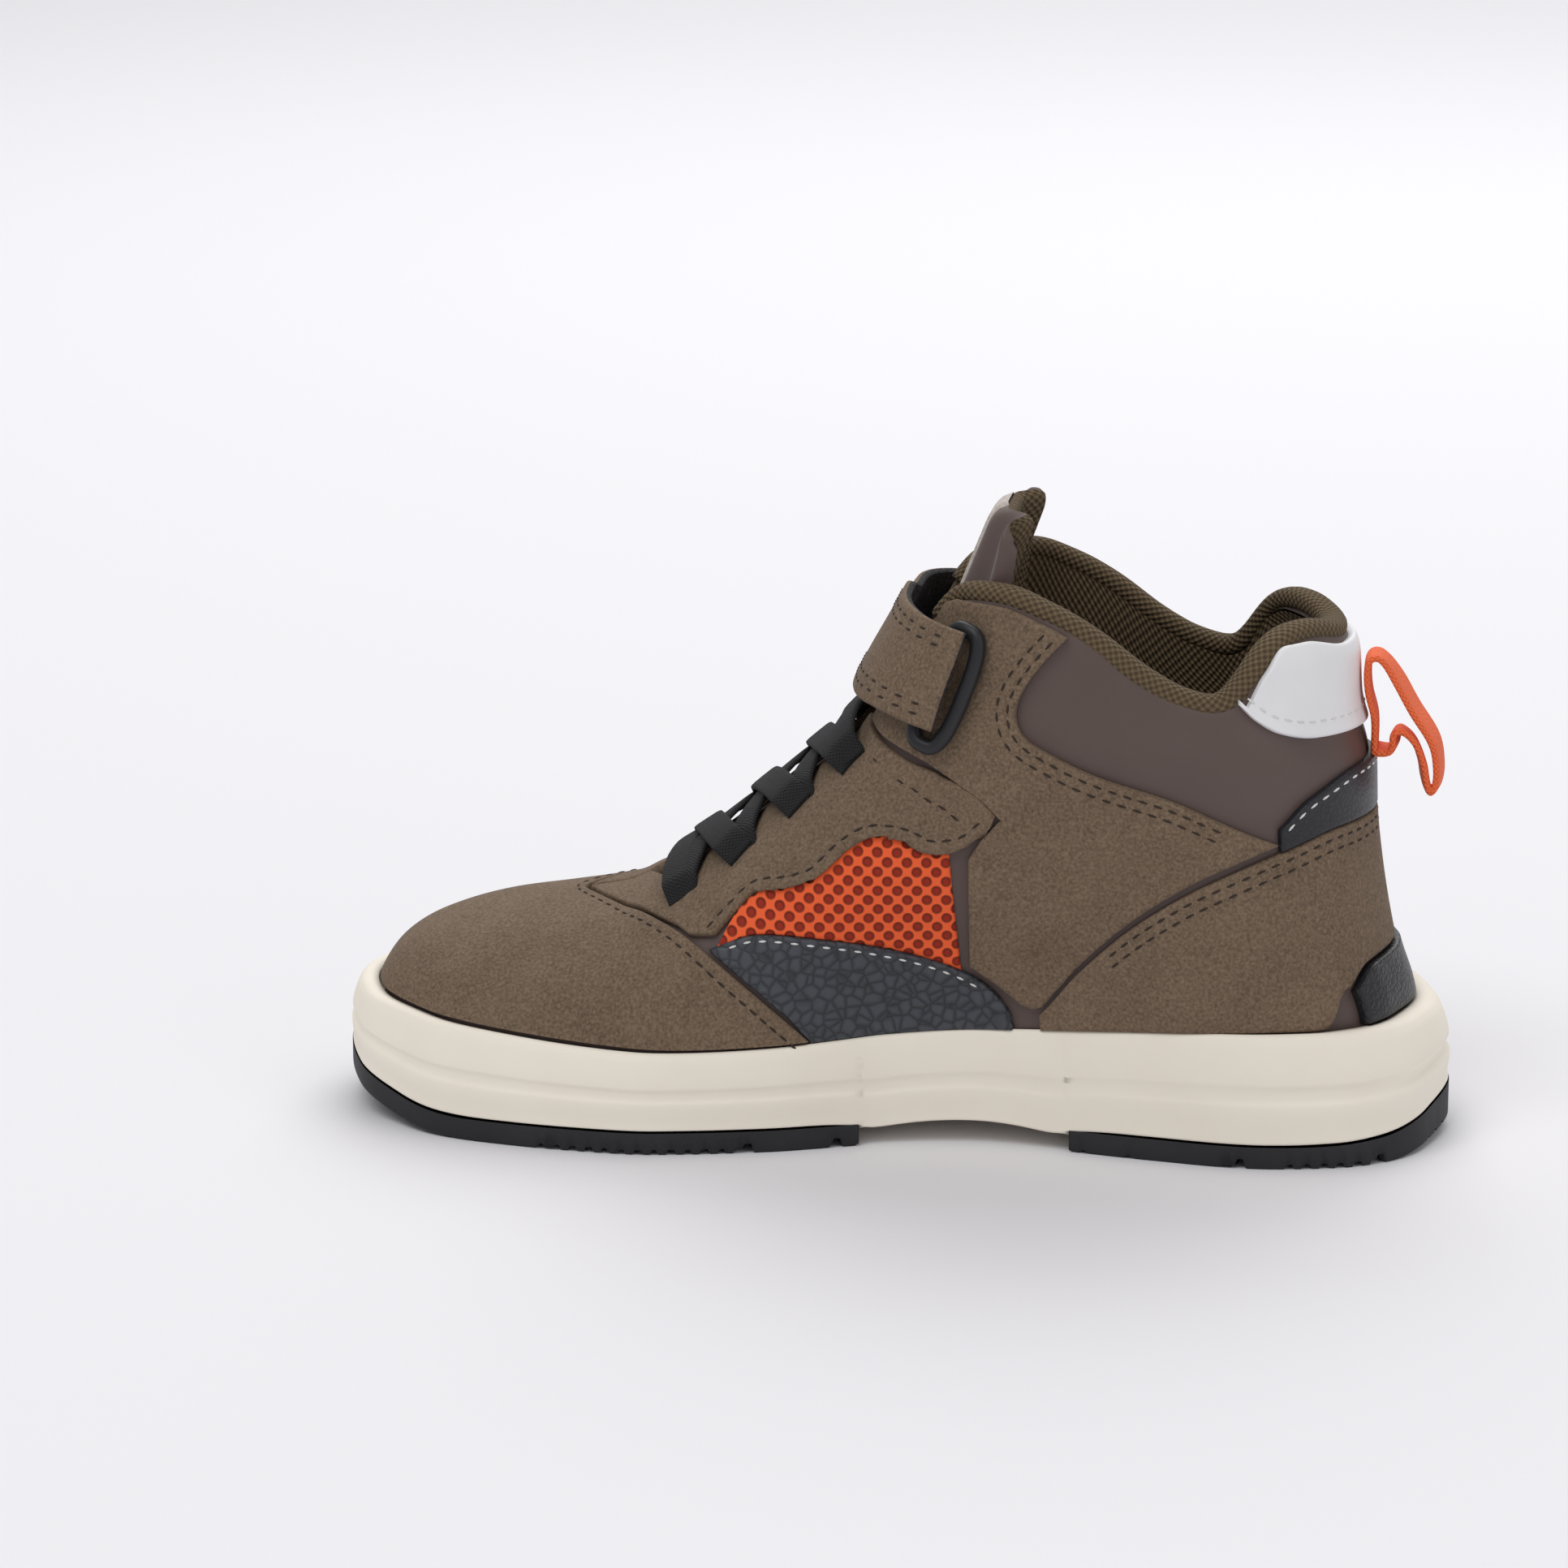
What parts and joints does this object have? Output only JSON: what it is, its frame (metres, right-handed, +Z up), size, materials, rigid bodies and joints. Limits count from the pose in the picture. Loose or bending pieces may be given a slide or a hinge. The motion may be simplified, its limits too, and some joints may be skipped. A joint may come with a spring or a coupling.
{
  "type": "children's mid-cut trainer shoe",
  "caption": "Child's right mid-cut leisure trainer, empty and upright, with padded collar, instep strap, elastic laces and lugged rubber sole",
  "frame": {"origin": "middle of the bounding box on the floor under the sole", "axes": "+X to the heel, -X to the toe, -Y to the medial side, +Z up"},
  "size_m": [0.225, 0.086, 0.1262],
  "materials": {
    "satin": "padded softshell, matte with a soft sheen",
    "cream_foam": "moulded foam, matte",
    "black_rubber": "moulded rubber, matte",
    "knit": "ribbed knit lining and binding",
    "suede": "short-napped synthetic suede",
    "orange_mesh": "air mesh",
    "pebbled_leather": "pebbled coated leather",
    "black_leather": "smooth coated leather",
    "white_leather": "smooth coated leather, slightly creased",
    "orange_ribbon": "woven ribbon",
    "ring_plastic": "moulded plastic, semi-gloss",
    "lace": "flat woven elastic"
  },
  "bodies": {
    "root": {"upper": "satin", "tongue": "satin", "midsole": "cream_foam", "outsole_forefoot": "black_rubber", "outsole_heel": "black_rubber", "insole": "knit", "toe_cap": "suede", "eyestay_medial": "suede", "eyestay_lateral": "suede", "mesh_panel_medial": "orange_mesh", "mesh_panel_lateral": "orange_mesh", "side_panel_medial": "pebbled_leather", "side_panel_lateral": "pebbled_leather", "quarter_medial": "suede", "quarter_lateral": "suede", "heel_counter": "suede", "heel_patch": "black_leather", "heel_tab": "white_leather", "heel_stabilizer": "black_rubber", "pull_loop": "orange_ribbon", "collar_binding": "knit", "instep_strap": "suede", "strap_ring": "ring_plastic", "laces": "lace"}
  },
  "joints": []
}
